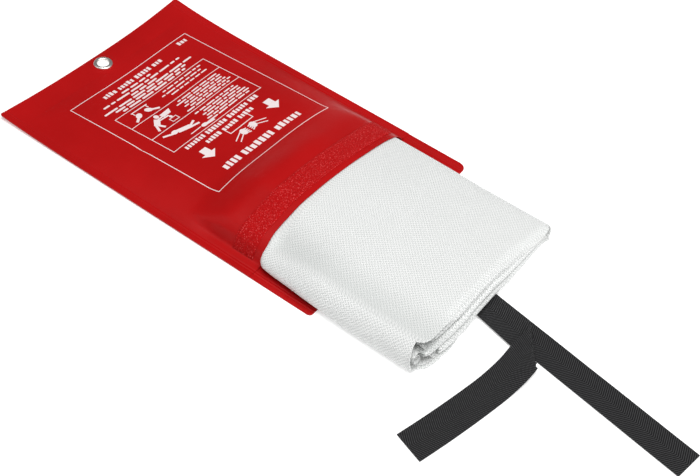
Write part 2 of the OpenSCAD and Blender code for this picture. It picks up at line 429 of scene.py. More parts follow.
def bulge(x, y):
    """How far the front sheet stands off the back sheet."""
    t = np.clip((BULGE_START_Y - y) / BULGE_LENGTH, 0, 1)
    held_down = 1 - 0.85 * np.exp(-(x / 48.0) ** 2) * np.exp(-np.clip(-y, 0, None) / 85.0)
    width = np.clip(1 - np.abs(x / WELD_X) ** 3.0, 0, None)
    gentle = GENTLE_H * t**0.75 * held_down * width
    climb = smooth_step((CLIMB_START_Y - y) / (CLIMB_START_Y - CLIMB_END_Y))
    arch = through(MOUTH_ARCH, x) - 2 * SHEET_T
    dents = DENT_H * ripple(x, y, 55, 4) * width * t
    from_crease = (x - CREASE_X + 0.45 * (y + 100)) / 3.0
    crease = CREASE_H * np.exp(-from_crease**2) * np.exp(-((y - CREASE_Y) / 14.0) ** 2)
    return np.clip(gentle * (1 - climb) + arch * climb + dents - crease * width, 0, None)


def weld_groove(x):
    """Two pressed lines along each long edge."""
    return sum(GROOVE_H * np.exp(-((np.abs(x) - line) / GROOVE_W) ** 2) for line in GROOVE_LINES)


def flap_groove(x, y):
    """The welds run on down the flap, past the mouth."""
    return weld_groove(x) * smooth_step((MOUTH_Y - y) / 2.0)


def back_top(x, y):
    return SHEET_T + curl(x, y) + dimple(x, y)


def front_top(x, y):
    """The height of the front sheet's outer face, which the print and the loop strip follow."""
    return back_top(x, y) + SHEET_T + bulge(x, y) - weld_groove(x)


def across_stations():
    """Stations across the pouch, close together at the welds and round the steep left side."""
    edge = np.concatenate([np.arange(95.0, 99.6, 0.3), [100.5, 101.5, 102.4, HALF_W]])
    return np.unique(np.round(np.concatenate([-edge, spread(-95, -70, 0.9), spread(-70, -12, 2.6),
                                              spread(-12, 12, 1.0), spread(12, 70, 2.6),
                                              spread(70, 95, 1.3), edge]), 3))


def rounded_in(x, y, corner_y, left_r, right_r):
    """Draws a grid's y in at its last rows, so that the sheet's corners come out round."""
    r = np.where(x < 0, left_r, right_r)
    over = np.clip((np.abs(x) - (HALF_W - r)) / r, 0, 1)
    pull = r * (1 - np.sqrt(np.clip(1 - over**2, 0, 1)))
    near = np.clip(1 - np.abs(y - corner_y) / (2.2 * r), 0, 1)
    return y - np.sign(corner_y - y.mean()) * pull * near


def opened_round(x, y):
    """Moves the grid's points near the eyelet so that its left-out square becomes a round hole."""
    square = np.maximum(np.abs(x), np.abs(y))
    distance = np.maximum(np.hypot(x, y), 1e-6)
    away = np.clip((square - HOLE_SQUARE) / (HOLE_EASE - HOLE_SQUARE), 0, 1)
    scale = ((1 - away) * HOLE_R + away * distance) / distance
    return x * scale, y * scale


def mouth_edge(x, y):
    """The mouth's edge runs forward to its two ends, because the arch draws the middle back."""
    forward = np.where(x < 0, 3.0, 1.5) * smooth_step((np.abs(x) - 60) / 32.0) ** 2
    return y - forward * smooth_step((MOUTH_Y + 12 - y) / 12.0)


def along_stations(y0):
    """Stations from a sheet's lower edge to the top, close together at the edge and round the eyelet."""
    near_edge = spread(y0, y0 + 12, 1.2)
    between = spread(y0 + 12, -16, 3.0)
    near_hole = np.append(np.arange(-16, TOP_Y - 0.5, 1.0), TOP_Y)
    return np.unique(np.round(np.concatenate([near_edge, between, near_hole]), 3))


def pouch_sheet(name, y0, top, is_front):
    """One sheet as a thin closed solid whose top face follows top(x, y), with the eyelet's hole."""
    x, y = np.meshgrid(across_stations(), along_stations(y0))
    y = mouth_edge(x, y) if is_front else rounded_in(x, y, y0, FLAP_LEFT_R, FLAP_RIGHT_R)
    y = rounded_in(x, y, TOP_Y, TOP_CORNER_R, TOP_CORNER_R)
    middle_x, middle_y = (x[1:, 1:] + x[:-1, :-1]) / 2, (y[1:, 1:] + y[:-1, :-1]) / 2
    keep = np.maximum(np.abs(middle_x), np.abs(middle_y)) > HOLE_SQUARE
    x, y = opened_round(x, y)
    upper = np.dstack([x, y, top(x, y)])
    lower = upper - [0, 0, SHEET_T]
    points, faces = solid_between(lower, upper, keep)
    piece = make_piece(name, points, faces, FILM, "pouch")
    return piece


def build_pouch():
    back = pouch_sheet("back_sheet", FLAP_Y, lambda x, y: back_top(x, y) - flap_groove(x, y), False)
    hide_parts("pouch_back_sheet")
    front = pouch_sheet("front_sheet", MOUTH_Y, front_top, True)
    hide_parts("pouch_front_sheet")


# ---- hook and loop strips

LOOP_X = (-89.5, 86.0)
LOOP_T = 0.8
HOOK_T = 1.0
PILE_EDGE = 1.2
STRIP_SINK = 0.02


def strip_on(name, x0, x1, y0, y1, surface, thick, material, rough, seed):
    """A strip of fabric on a surface, with a slightly uneven pile and soft edges."""
    x, y = np.meshgrid(spread(x0, x1, 0.8), spread(y0, y1, 0.7))
    edge = np.minimum(np.minimum(x - x0, x1 - x), np.minimum(y - y0, y1 - y))
    pile = thick * (0.45 + 0.55 * smooth_step(edge / PILE_EDGE))
    rng = np.random.default_rng(seed)
    pile = pile + rough * rng.uniform(-1, 1, x.shape) * (edge > 0.1)
    base = surface(x, y)
    slope_x = np.gradient(base, axis=1) / np.gradient(x, axis=1)
    length = np.sqrt(1 + slope_x**2)
    upper = np.dstack([x - pile * slope_x / length, y, base + pile / length])
    lower = np.dstack([x, y, base - STRIP_SINK])
    points, faces = solid_between(lower, upper)
    piece = make_piece(name, points, faces, material, "pouch")
    return piece


def build_strips():
    loop = strip_on("loop_band", *LOOP_X, LOOP_LOW[1], LOOP_HIGH[1], front_top, LOOP_T, LOOP, 0.05, 11)
    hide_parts("loop_strip")
    hook = strip_on("hook_band", HOOK_LOW[0], HOOK_HIGH[0], HOOK_LOW[1], HOOK_HIGH[1], back_top, HOOK_T,
                    HOOK, 0.1, 12)
    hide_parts("hook_strip")


# ---- print on the front sheet

PRINT_X = (-62.0, 75.0)
PRINT_Y = (-181.0, -24.0)
BOX_X = (-49.0, 57.5)
BOX_Y = (-124.0, -60.5)
BOX_ROWS = (-79.0, -100.5)
FRAME_W = 0.62
BOX_LINE_W = 0.6
INK_H = 0.07
INK_SINK = 0.05
INK_CELL = 3.0


def bar(x0, x1, y, height):
    """A short printed bar with round ends."""
    r = height / 2
    return [(middle + r * math.cos(a), y + r * math.sin(a))
            for middle, start in ((x0 + r, 0.5), (x1 - r, -0.5))
            for a in np.linspace(start, start + 1, 5) * math.pi]


def words(x0, x1, y, height, rng):
    """A line of bars of uneven length, which stands for a line of words."""
    shapes, x = [], x0
    while x < x1 - height:
        end = min(x + height * rng.uniform(1.6, 5.2), x1)
        shapes.append(bar(x, end, y, height * 0.62))
        x = end + height * 0.55
    return shapes


def blocks(x0, x1, y, height, slope, rng):
    """A line of small upright blocks in groups, which stands for a large heading."""
    shapes, x = [], x0
    left = int(rng.integers(4, 8))
    while x < x1 - height * 0.4:
        wide = height * rng.uniform(0.42, 0.62)
        tall = height * rng.choice([0.42, 0.5])
        base = y + slope * (x - x0)
        shapes.append(rectangle(x, x + wide, base - height * 0.5, base - height * 0.5 + 2 * tall))
        x += wide + height * 0.26
        left -= 1
        if left == 0:
            x += height * 0.5
            left = int(rng.integers(4, 8))
    return shapes


def outline(x0, x1, y0, y1, width):
    """The four sides of a printed frame."""
    return [rectangle(x0, x1, y0, y0 + width), rectangle(x0, x1, y1 - width, y1),
            rectangle(x0, x0 + width, y0, y1), rectangle(x1 - width, x1, y0, y1)]


def rectangle(x0, x1, y0, y1):
    """Four corners, in order."""
    return [(x0, y0), (x1, y0), (x1, y1), (x0, y1)]


def disc(x, y, rx, ry, turn=0.0):
    """A filled ellipse, turned by an angle in radians."""
    c, s = math.cos(turn), math.sin(turn)
    return [(x + rx * math.cos(a) * c - ry * math.sin(a) * s, y + rx * math.cos(a) * s + ry * math.sin(a) * c)
            for a in np.linspace(0, 2 * math.pi, 12, endpoint=False)]


def limb(x0, y0, x1, y1, width):
    """A thick line between two points."""
    length = math.hypot(x1 - x0, y1 - y0)
    nx, ny = -(y1 - y0) / length * width / 2, (x1 - x0) / length * width / 2
    return [(x0 - nx, y0 - ny), (x1 - nx, y1 - ny), (x1 + nx, y1 + ny), (x0 + nx, y0 + ny)]


def arrow(x, y, width, height):
    """A block arrow that points to the mouth."""
    shaft, shoulder = width * 0.24, y - height * 0.5
    return [[(x + shaft, y), (x + shaft, shoulder), (x - shaft, shoulder), (x - shaft, y)],
            [(x - width / 2, shoulder), (x, y - height), (x + width / 2, shoulder)]]


def figure(x, y, size):
    """A plain standing figure: head, body, two legs and two arms held out to one side."""
    limbs = ((0, 0.36, 0.35, 0.72, 0.30), (-0.04, 0.40, -0.22, 0, 0.13), (0.04, 0.40, 0.20, 0.02, 0.13),
             (0.35, 0.66, 0.97, 0.70, 0.09), (0.35, 0.56, 0.95, 0.52, 0.09))
    head = disc(x + size * 0.47, y + size * 0.88, size * 0.13, size * 0.15)
    return [head] + [limb(x + size * a, y + size * b, x + size * c, y + size * d, size * w)
                     for a, b, c, d, w in limbs]


def hand(x, y, side):
    """A plain hand that holds a tape: a palm, four fingers and a wrist."""
    fingers = [limb(x - side * 1.2, y + 2.6 - 1.9 * k, x - side * 4.6, y + 1.6 - 2.0 * k, 1.1)
               for k in range(4)]
    return [disc(x, y, 3.1, 3.9), *fingers, limb(x + side * 2.0, y - 1.5, x + side * 11.0, y - 6.5, 0.9),
            limb(x + side * 1.0, y + 2.6, x + side * 13.0, y - 3.0, 0.9)]


def draw(name, shapes):
    """Lays flat outlines on the front sheet as a thin solid layer of ink that follows its shape."""
    bm = bmesh.new()
    for shape in shapes:
        bm.faces.new([bm.verts.new((x, y, 0)) for x, y in shape])
    for normal, low, high in (((1, 0, 0), PRINT_X[0], PRINT_X[1]), ((0, 1, 0), PRINT_Y[0], PRINT_Y[1])):
        for place in np.arange(low, high, INK_CELL):
            point = [place * n for n in normal]
            bmesh.ops.bisect_plane(bm, geom=bm.verts[:] + bm.edges[:] + bm.faces[:], plane_co=point,
                                   plane_no=normal, dist=1e-5)
    bmesh.ops.recalc_face_normals(bm, faces=bm.faces[:])
    bm.verts.index_update()
    flat = np.array([v.co[:] for v in bm.verts])
    rings = [(tuple(v.index for v in face.verts), face.normal.z > 0) for face in bm.faces]
    bm.free()
    base = front_top(flat[:, 0], flat[:, 1])
    points = np.concatenate([np.column_stack([flat[:, :2], base + up]) for up in (-INK_SINK, INK_H)])
    faces = closed_faces([ring if upward else ring[::-1] for ring, upward in rings], len(flat))
    piece = make_piece(name, points, faces, INK, "pouch")


def build_print():
    rng = np.random.default_rng(30)
    draw("print_frame", outline(*PRINT_X, *PRINT_Y, FRAME_W))
    inner = outline(*BOX_X, *BOX_Y, BOX_LINE_W)
    inner += [rectangle(*BOX_X, y - BOX_LINE_W / 2, y + BOX_LINE_W / 2) for y in BOX_ROWS]
    draw("print_box", inner)
    headings = []
    for x0, x1, y, height, slope in ((-33, 35, -33.3, 4.6, 0), (-40, 46, -128.0, 4.4, 0),
                                     (-24, 32, -135.5, 4.4, 0), (-39, 56, -166.5, 6.4, -0.02),
                                     (59, 69, -30.5, 4.4, 0)):
        headings += blocks(x0, x1, y, height, slope, rng)
    draw("print_headings", headings)
    small = []
    for x0, x1, y in ((-19, 15, -39.5), (-44, 46, -43.6), (-16, 14, -47.4), (-50, 53, -50.8),
                      (-41, 42, -54.2), (-36, 38, -57.6)):
        small += words(x0, x1, y, 3.0, rng)
    for top, lines, line_step in ((-64.5, 3, 4.0), (BOX_ROWS[0] - 3.8, 6, 2.95),
                                  (BOX_ROWS[1] - 4.0, 6, 2.95)):
        for k in range(lines):
            inset = rng.uniform(0, 9, 2)
            small += words(-4 + inset[0], 53 - inset[1], top - k * line_step, 2.2, rng)
    draw("print_small_lines", small)
    draw("print_arrows", arrow(-33, -138.5, 15.5, 13.5) + arrow(46, -138.0, 16.5, 14.0))
    draw("print_figures", pictograms())


def pictograms():
    """Three plain steps in the box, and two hands that pull the tapes."""
    return [
        limb(-35, -65, -17, -65, 1.0), limb(-34, -65, -34, -69, 0.9), limb(-19, -65, -19, -69, 0.9),
        disc(-32.5, -71.5, 3.6, 2.6, 0.7), disc(-21.5, -71.5, 3.6, 2.6, -0.7),
        limb(-33.5, -72.5, -39.5, -76.5, 2.2), limb(-20.5, -72.5, -13.5, -76.5, 2.2),
        *figure(-33.0, -98.0, 17.0),
        [(-22, -83.5), (-10, -82.5), (-12.5, -87.5), (-21, -88.0)],
        *outline(-21.0, -13.0, -98.0, -93.0, 0.7), disc(-17.0, -91.5, 1.4, 1.8),
        limb(-41, -105, -33, -108.5, 2.0), disc(-30.5, -108.0, 3.3, 2.4), limb(-28, -109, -16, -112, 4.6),
        limb(-17, -112, -9.5, -109, 2.0), limb(-17, -113, -8.5, -114.5, 2.0),
        limb(-24, -119.5, -12, -119.0, 0.9), disc(-8.0, -119.5, 3.4, 2.0), limb(-6, -120, 2.5, -120.5, 2.6),
        limb(-4.0, -136, -4.0, -143.5, 0.8), limb(23.0, -136, 23.0, -143.5, 0.8),
        limb(-4.4, -143.5, 23.4, -143.5, 0.8),
        *hand(4.0, -150.0, -1), *hand(15.5, -150.0, 1),
    ]


# ---- eyelet

LATHE_TURNS = 72


def lathe(name, profile):
    """A closed ring of nickel on the pouch from an (r, z) profile in mm."""
    count = len(profile)
    points = [(r * math.cos(a), r * math.sin(a), z)
              for a in np.linspace(0, 2 * math.pi, LATHE_TURNS, endpoint=False) for r, z in profile]
    faces = []
    for t in range(LATHE_TURNS):
        here, there = t * count, ((t + 1) % LATHE_TURNS) * count
        for k in range(count):
            after = (k + 1) % count
            faces.append((here + k, there + k, there + after, here + after))
    piece = make_piece(name, points, faces, NICKEL, "pouch")
    return piece


def build_eyelet():
    """The rolled ring and its barrel in front, and the washer behind the sheets."""
    ring_r = RIM_R - 0.35
    rim_z = WASHER_T + 2 * SHEET_T
    mid, half = (BORE_R + ring_r) / 2, (ring_r - BORE_R) / 2
    height = RIM_TOP_Z - rim_z
    roll = [(mid + half * math.cos(a), rim_z + height * math.sin(a) ** 0.8)
            for a in np.linspace(0, math.pi, 17)]
    tucked = [(ring_r - 0.15, rim_z - 0.12), (ring_r - 0.6, rim_z - 0.12)]
    barrel = [(BORE_R, 0.35), (BORE_R + 0.2, 0.08), (BORE_R + 0.9, 0.0), (BORE_R + 1.4, 0.05),
              (BORE_R + 0.5, 0.62)]
    ring = lathe("eyelet_ring", tucked[::-1] + roll + barrel)
    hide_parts("eyelet")
    inner, outer = BORE_R + 1.45, RIM_R - 0.2
    profile = [(inner, 0.03), (inner + 0.2, 0.0), (outer - 0.3, 0.0), (outer, 0.25), (outer - 0.1, WASHER_T),
               (inner - 0.6, WASHER_T)]
    washer = lathe("eyelet_back_washer", profile)
    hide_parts("eyelet_washer")


# ---- the folded blanket

# The top face's height over x at the outer end, the outer end's y over x, and the left side's x over y
PACKET_TOP_END = [(-100, 24), (-88, 26.2), (-60, 27.0), (-30, 26.4), (0, 25.2), (40, 20.4), (70, 14.6),
                  (84, 11)]
LOW_EDGE_END = [(-101, -384.5), (-92, -388), (-80, -391.5), (-40, -394.0), (68, -394.0), (77, -393.2),
                (84, -390.5)]
PACKET_LEFT = [(-404, -100.5), (-384, -100.0), (-330, -99.3), (-301, -98.3), (-275, -96.0), (-258, -94.6),
               (-251, -93.4), (-247.5, -91.0), (-244.3, -85.6), (-240, -82.6), (-190, -80.0)]
PACKET_RIGHT_X = 85.0
PACKET_LENGTH = 200.0
ROUND_LEFT = 12.5
ROUND_RIGHT = 6.0
ROUND_ANGLES = (-78, -60, -40, -20, 0, 20, 40, 60, 78)

# How thick the packet is at its hidden end, as a share of its full thickness
INNER_SHARE = 0.56
VALLEY_H = 3.4
VALLEY_FROM_LEFT = 19.5
RIGHT_ROLL_H = 3.6
RIGHT_ROLL_W = 13.0

# Heights of the packet's underside: on the flap, on the surface, and over the sewn tapes
ON_FLAP_Z = 2.0
ON_SURFACE_Z = 0.4
OVER_TAPES_Z = 3.3

# The sleeve's layers: how far each lies inside the outermost, and how far back from the end it stops
SLEEVE_LAYERS = (0.0, 0.9, 1.5, 2.1)
SLEEVE_BACK = (0.0, 0.0, 2.6, 2.6)
BOTTOM_BACK = 3.4
LIP_REACH = 7.5
LIP_DROP = 0.37

ROLL_LEVELS = 16
ROLL_CLEAR_LOW = 2.6
ROLL_CLEAR_HIGH = 2.9

LAYER_T = 0.4
ROLL_LAYER_T = 0.3

# Each flat roll: x0, x1, centre, width, set back, tip, seed
FLAT_ROLLS = ((-76, 74, 0.84, 0.34, 3.6, 5.0, 1), (-86, 73, 0.48, 0.36, 3.2, 4.0, 2),
              (-72, 76, 0.13, 0.40, 3.6, 5.0, 3))
# Each fold in an open corner: x, z, size, flatness, turns, y0, y1, seed, thickness
END_FOLDS = ((-91.5, 10.0, 4.6, 1.2, 1.4, -384.0, -340, 5, LAYER_T),
             (-77.0, 8.0, 5.2, 0.8, 1.3, -388.5, -345, 6, LAYER_T),
             (-83.0, 19.0, 4.6, 0.7, 1.2, -384.5, -345, 9, LAYER_T),
             (-62.0, 18.0, 4.2, 0.8, 1.1, -386.5, -345, 7, LAYER_T),
             (76.5, 7.4, 2.6, 1.0, 1.3, -390.0, -350, 8, 0.35))
ABOVE_END_FOLDS_Z = 12.0


def packet_left(y):
    return through(PACKET_LEFT, y)


def packet_right(y):
    return PACKET_RIGHT_X - 2.5 * smooth_step((MOUTH_Y - y) / 110.0)


def hollow(x, y):
    """The shallow valley beside the packet's rounded left side: 1 along its bottom, 0 away from it. It shapes
    the valley, and also sets where the cloth is painted darker as shade.
    """
    off = x - packet_left(y) - VALLEY_FROM_LEFT
    width = np.where(off < 0, 7.0, 15.0)
    return np.exp(-(off / width) ** 2) * smooth_step((MOUTH_Y + 3 - y) / 12.0)


def packet_top(x, y):
    """The outermost layer's height: under the arch inside the mouth, and its own shape outside."""
    under_arch = through(MOUTH_ARCH, np.clip(x, -77, 83)) - SHEET_T - 0.9
    out = smooth_step((MOUTH_Y + 4 - y) / 60.0)
    full = under_arch * (1 - out) + through(PACKET_TOP_END, x) * out
    inside = smooth_step((INNER_Y + 1 - y) / 32.0)
    full = full * (INNER_SHARE + (1 - INNER_SHARE) * inside)
    valley = VALLEY_H * hollow(x, y)
    near_right = np.clip((x - packet_right(y) + RIGHT_ROLL_W) / RIGHT_ROLL_W, 0, 1)
    right_roll = RIGHT_ROLL_H * near_right**2 * out
    return full - valley - right_roll + 0.22 * ripple(x, y, 60, 21) * out


def packet_bottom(x, y):
    """Rests on the flap and its hook strip, then on the surface, and lies over the sewn tapes."""
    on_surface = smooth_step((FLAP_Y - 4 - y) / 26.0)
    tapes = smooth_step((-350 - y) / 14.0) * smooth_step((24 - np.abs(x + 14)) / 7.0)
    return (ON_FLAP_Z - (ON_FLAP_Z - ON_SURFACE_Z) * on_surface
            + (OVER_TAPES_Z - ON_SURFACE_Z) * tapes)


def end_y(x, height):
    """The outer end's place for a height share from 0, low, to 1, high."""
    low = through(LOW_EDGE_END, x)
    lean = 5.5 - 2.5 * smooth_step(x / 80.0)
    return low + lean * np.clip(height, 0, 1) ** 1.5


def lip_share(x):
    """How far the sleeve's outer rim turns inwards: not at all at its two open corners."""
    return smooth_step((x + 66) / 24.0) * smooth_step((78 - x) / 9.0)


def sleeve_loop():
    """Stations round the sleeve: (kind, share) with kind left, top, right or bottom."""
    arc = [math.radians(a) for a in ROUND_ANGLES]
    runs = list(np.linspace(0, 1, 44))
    return ([("left", a) for a in arc] + [("top", r) for r in runs]
            + [("right", -a) for a in arc] + [("bottom", 1 - r) for r in runs])


def sleeve_point(kind, share, y_share, inset, out, back):
    """A point on one layer of the sleeve: inset from its outside, and set back from its end."""
    mid_y = INNER_Y - PACKET_LENGTH * y_share
    left, right = packet_left(mid_y), packet_right(mid_y)
    on_side = kind in ("left", "right")
    if on_side:
        sign, edge, radius = (-1, left, ROUND_LEFT) if kind == "left" else (1, right, ROUND_RIGHT)
        x = edge - sign * radius
        height = 0.5 + 0.5 * math.sin(share)
    else:
        x = left + ROUND_LEFT + (right - left - ROUND_LEFT - ROUND_RIGHT) * share
        edge = x
        height = 1.0 if kind == "top" else 0.0
    lip = lip_share(x)
    outer = end_y(edge, height) + back + BOTTOM_BACK * (1 - height) * lip
    y = INNER_Y + (outer - INNER_Y) * y_share
    high, low = packet_top(x, y), packet_bottom(x, y)
    if on_side:
        z = low + inset + (high - low - 2 * inset) * (height**1.3 if kind == "left" else height)
        x += sign * (radius - inset) * math.cos(share) ** (0.55 if share < 0 else 1.0)
        if kind == "left" and y > MOUTH_Y - 2:
            z = min(z, max(low + inset, through(MOUTH_ARCH, x) - 1.3 - inset))
    elif kind == "top":
        near_end = np.clip(1 - (y - outer) / LIP_REACH, 0, 1)
        turn = (1 - math.sqrt(1 - near_end**2)) * lip
        z = high - inset - LIP_DROP * (high - low) * turn
    else:
        z = low + inset
    return x, y - out, z


def sleeve_grid():
    """Four layers of cloth round the packet: down to the outer rim, turned under and back, twice."""
    shares = np.concatenate([np.linspace(0, 0.23, 4), np.linspace(0.25, 0.34, 10),
                             np.linspace(0.37, 0.955, 12), np.linspace(0.965, 1.0, 8)])
    path = []
    for k, (inset, back) in enumerate(zip(SLEEVE_LAYERS, SLEEVE_BACK)):
        order = shares if k % 2 == 0 else shares[::-1]
        path += [(share, inset, 0.0, back) for share in order]
        if k + 1 == len(SLEEVE_LAYERS):
            break
        radius = (SLEEVE_LAYERS[k + 1] - inset) / 2
        end_share, outwards = (1.0, 1) if k % 2 == 0 else (0.0, -1)
        for a in (-50, 0, 50):
            bend = math.radians(a)
            path.append((end_share, inset + radius * (1 + math.sin(bend)),
                         outwards * radius * math.cos(bend), back))
    loop = sleeve_loop()
    grid = [[sleeve_point(kind, share, *station) for station in path] for kind, share in loop + loop[:1]]
    return np.array(grid)


def roll_path():
    """The path of a flat roll: height from -1 to 1, share along y, and how far past its end.

    The cloth passes through the levels from outside in: lowest, highest, second lowest and so on.
    """
    half = ROLL_LEVELS / 2
    order = [level for k in range(ROLL_LEVELS // 2) for level in (k, ROLL_LEVELS - 1 - k)]
    shares = np.concatenate([np.linspace(0, 0.94, 9), [0.965, 0.985, 1.0]])
    path = []
    for k, level in enumerate(order):
        height = (level + 0.5 - half) / half
        run = shares if k % 2 == 0 else shares[::-1]
        path += [(height, share, 0.0) for share in run]
        if k + 1 == ROLL_LEVELS:
            break
        low, high = sorted((level, order[k + 1]))
        middle, radius = (low + high + 1 - ROLL_LEVELS) / 2 / half, (high - low) / 2 / half
        end_share, outwards = (1.0, 1) if k % 2 == 0 else (0.0, -1)
        rising = 1 if order[k + 1] > level else -1
        for a in (-72, -45, -20, 0, 20, 45, 72):
            bend = math.radians(a)
            path.append((middle + rising * radius * math.sin(bend), end_share,
                         outwards * radius * math.cos(bend)))
    return path


def roll_grid(x0, x1, centre, width, set_back, tip, seed):
    """One of the flat rolls inside the sleeve, between two x and at a share of the height."""
    rng = np.random.default_rng(seed)
    phase = rng.uniform(0, 6, 2)
    xs = np.concatenate([x0 + tip * (1 - np.cos(np.linspace(0, math.pi / 2, 7))),
                         np.linspace(x0 + tip, x1 - tip, 16)[1:-1],
                         x1 - tip * (1 - np.cos(np.linspace(math.pi / 2, 0, 7)))])
    grid = []
    for x in xs:
        edge = min(1.0, min(x - x0, x1 - x) / tip)
        taper = 0.72 + 0.28 * math.sqrt(1 - (1 - edge) ** 2)
        row = []
        for height, share, past in roll_path():
            end = end_y(x, centre) + set_back + 2.4 * (1 - taper)
            y = INNER_Y - 3 + (end - INNER_Y + 3) * share
            follow = (packet_left(y) - packet_left(-384)) * np.clip(-x / 86.0, 0, 1)
            ragged = 1.6 * math.sin(7 * height + phase[0]) * (1 - edge) ** 2
            low, high = packet_bottom(x, y) + ROLL_CLEAR_LOW, packet_top(x, y) - ROLL_CLEAR_HIGH
            shrink = 0.9 + 0.1 * smooth_step((y - end) / 14.0)
            half = (high - low) * width / 2 * taper * shrink
            sway = 0.05 * math.sin(x / 9.0 + phase[0]) + 0.03 * math.sin(x / 4.1 + phase[1])
            z = low + (high - low) * (centre + sway * (1 - shrink) * 2) + half * height
            row.append((x + follow + ragged, y - past * half, z))
        grid.append(row)
    return np.array(grid)


def curl_grid(x, z, size, flat, turns, y0, y1, seed):
    """A crumpled fold of cloth that shows in an open corner: a loose scroll along y."""
    rng = np.random.default_rng(seed)
    wobble = rng.uniform(0.8, 1.25, 12)
    grid = []
    for k, t in enumerate(np.linspace(0, 1, 34)):
        angle = 2 * math.pi * turns * t + rng.uniform(0, 0.02)
        radius = size * (1 - 0.72 * t) * wobble[k % 12] ** 0.35
        row = []
        for s in np.linspace(0, 1, 9):
            lean = 1 + 0.25 * math.sin(5 * s + 3 * t)
            row.append((x + radius * math.cos(angle) * lean + 2 * s,
                        y0 + (y1 - y0) * s + 0.8 * math.sin(9 * t),
                        z + flat * radius * math.sin(angle)))
        grid.append(row)
    return np.array(grid)


def cloth_solid(grid, thick):
    """Points, faces and cloth coordinates of a grid of cloth with its thickness."""
    normal = unit(np.cross(np.gradient(grid, axis=0), np.gradient(grid, axis=1)))
    points, faces = solid_between(grid - normal * thick / 2, grid + normal * thick / 2)
    across, along = run_length(grid[:, grid.shape[1] // 8]), run_length(grid[grid.shape[0] // 2])
    return points, faces, flat_place(across[:, None], along[None, :])


def build_blanket():
    """The packet as one piece: its sleeve, three flat rolls in it, and the folds in its open corners."""
    parts = [(sleeve_grid(), LAYER_T)]
    parts += [(roll_grid(*roll), ROLL_LAYER_T) for roll in FLAT_ROLLS]
    parts += [(curl_grid(*fold), thick) for *fold, thick in END_FOLDS]
    points, places, faces = np.empty((0, 3)), np.empty((0, 3)), []
    for grid, thick in parts:
        part_points, part_faces, part_places = cloth_solid(grid, thick)
        faces += [tuple(v + len(points) for v in face) for face in part_faces]
        points, places = np.concatenate([points, part_points]), np.concatenate([places, part_places])
    packet = make_piece("packet", points, faces, CLOTH, "blanket")
    add_coordinates(packet, "cloth_place", places)
    # Painted shade: points along the valley on the packet's top get a share of darker grey in place of the
    # shade that falls there; the folds in the open corners below get none.
    on_top = points[:, 2] > ABOVE_END_FOLDS_Z
    painted_hollow_shade = packet.data.attributes.new("cloth_painted_shade", "FLOAT", "POINT")
    painted_hollow_shade.data.foreach_set("value", (hollow(points[:, 0], points[:, 1]) * on_top).astype(np.float32))
    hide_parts("folded_blanket")


# ---- pull tapes

TAPE_W = 25.0
TAPE_T = 1.1
SEWN_LENGTH = 34.0
LOWER_LENGTH = 172.0
TAIL_LENGTH = 128.5
FLOOR_GAP = 0.05
TAPE_GAP = 0.2
LOWER_Z = TAPE_T / 2 + FLOOR_GAP
UPPER_Z = LOWER_Z + TAPE_T + TAPE_GAP
HINGE_TURN = 9
# The sewn end runs on past the hinge a little, under the free run, so that no gap shows
OVERLAP = 1.2
TUCK_H = 0.14


def tape_piece(name, middle, normal, swell, across, s, body):
    """A tape round its middle surface, with each point's place on the flat tape for the material."""
    thick = normal * swell[None, :, None]
    points, faces = solid_between(middle - thick, middle + thick)
    piece = make_piece(name, points, faces, WEBBING, body)
    add_coordinates(piece, "tape_place", flat_place(across[None, :], s[:, None]))
    return piece


def strip_along(name, centre, side, body):
    """A tape from its centre line and the direction of its width, and its length, all in mm."""
    centre = np.array(centre)
    normal = unit(np.cross(side, unit(np.gradient(centre, axis=0))))
    across = np.array([-1, -0.985, -0.95, -0.6, -0.2, 0.2, 0.6, 0.95, 0.985, 1]) * TAPE_W / 2
    swell = np.array([0.35, 0.8, 1, 1, 1, 1, 1, 1, 0.8, 0.35]) * TAPE_T / 2
    middle = centre[:, None, :] + side[None, None, :] * across[None, :, None]
    s = run_length(centre)
    return tape_piece(name, middle, normal[:, None, :], swell, across, s, body), s[-1]


def tape_from_grid(name, grid, s, across, body):
    """A tape from a grid of points on its middle surface."""
    normal = unit(np.cross(np.gradient(grid, axis=1), np.gradient(grid, axis=0)))
    swell = np.where(np.abs(np.abs(across) - TAPE_W / 2) < 0.01, 0.45, 1.0) * TAPE_T / 2
    return tape_piece(name, grid, normal, swell, across, s, body)


def heading(angle):
    """Outwards from the packet, turned towards -X by the angle in degrees."""
    a = math.radians(angle)
    return np.array([-math.sin(a), -math.cos(a), 0.0])


def across_of(direction):
    return np.array([-direction[1], direction[0], 0.0])


def build_lower_tape(root):
    """The lower tape lies flat, a little askew to the line square to its hinge."""
    way = heading(HINGE_TURN)
    steps = spread(-SEWN_LENGTH, LOWER_LENGTH, 2.0)
    wave = 0.12 * np.sin(steps / 23.0) ** 2 * np.clip(steps / 60, 0, 1)
    askew = 2.4 * (1 - steps / 190)
    centre = [np.append(root[:2], 0) + way * s + [a, 0, LOWER_Z + w] for s, a, w in zip(steps, askew, wave)]
    lower, length = strip_along("lower_tape", centre, across_of(way), None)
    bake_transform(lower)
    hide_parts("lower_pull_tape", "lower_tape_sewn_end")


